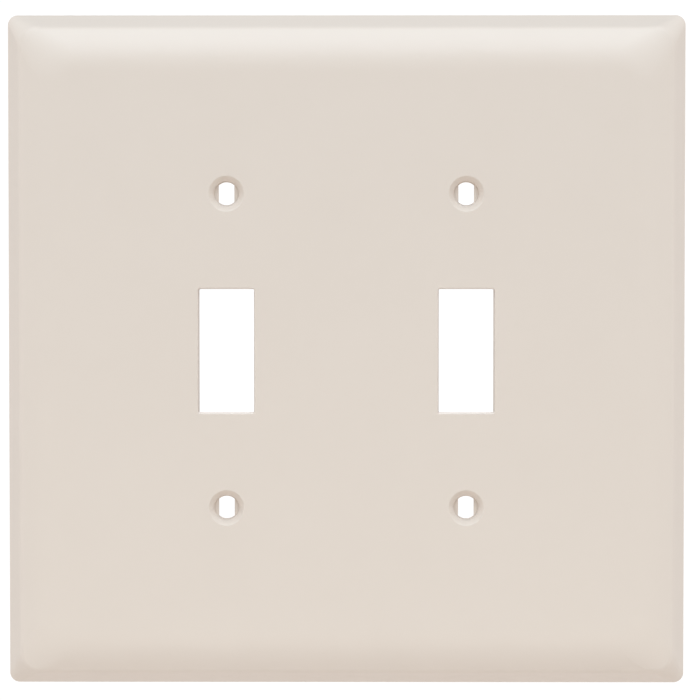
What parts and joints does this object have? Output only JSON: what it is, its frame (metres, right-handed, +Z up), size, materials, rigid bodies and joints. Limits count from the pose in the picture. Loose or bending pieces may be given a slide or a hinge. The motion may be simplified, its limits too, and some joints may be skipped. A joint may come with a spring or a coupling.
{
  "type": "toggle switch wall plate",
  "caption": "Oversize wall plate for ganged toggle switches: a shallow hollow moulding with a rolled edge, toggle openings and countersunk cover-screw holes.",
  "frame": {"origin": "centre of the rim, on the wall plane", "axes": "+X to the right seen from the front, +Z up, +Y into the wall; the front faces -Y"},
  "size_m": [0.1308, 0.0063, 0.1292],
  "materials": {
    "light_almond_plastic": "smooth satin moulding in light almond"
  },
  "bodies": {
    "root": {"wall_plate": "light_almond_plastic"}
  },
  "joints": []
}
